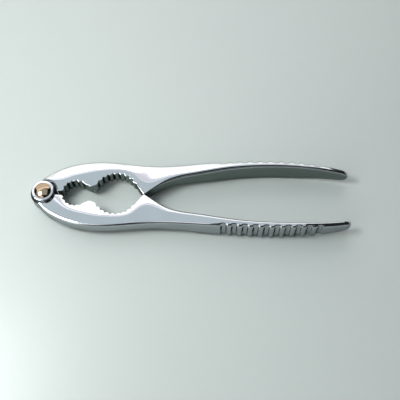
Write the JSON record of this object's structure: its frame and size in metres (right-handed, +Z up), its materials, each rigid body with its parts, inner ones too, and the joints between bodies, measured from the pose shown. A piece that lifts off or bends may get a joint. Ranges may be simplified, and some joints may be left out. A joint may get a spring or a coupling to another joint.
{
  "type": "nutcracker",
  "caption": "Plier-type nutcracker lying flat: two levers on a riveted pivot, with a small and a large toothed nut recess and ribbed handles.",
  "frame": {"origin": "on the pivot axis, in the plane that the tool rests on, at the flat tail of the rivet", "axes": "+X from the pivot to the handle tips, +Y across the tool towards the back lever, +Z up out of the resting plane, along the pivot"},
  "size_m": [0.1712, 0.0396, 0.0153],
  "materials": {
    "plated_casting": "bright chrome plate over a polished die casting, slightly wavy, with fine handling scratches",
    "polished_rivet": "polished dome, formed flat tail"
  },
  "bodies": {
    "front": {"front_lever": "plated_casting", "pivot_rivet": "polished_rivet"},
    "back": {"back_lever": "plated_casting"}
  },
  "joints": [
    {"name": "pivot", "type": "hinge", "parent": "front", "child": "back", "pos_m": [0, 0, 0.0075], "axis": [0, 0, 1], "range_deg": [0, 140]}
  ]
}
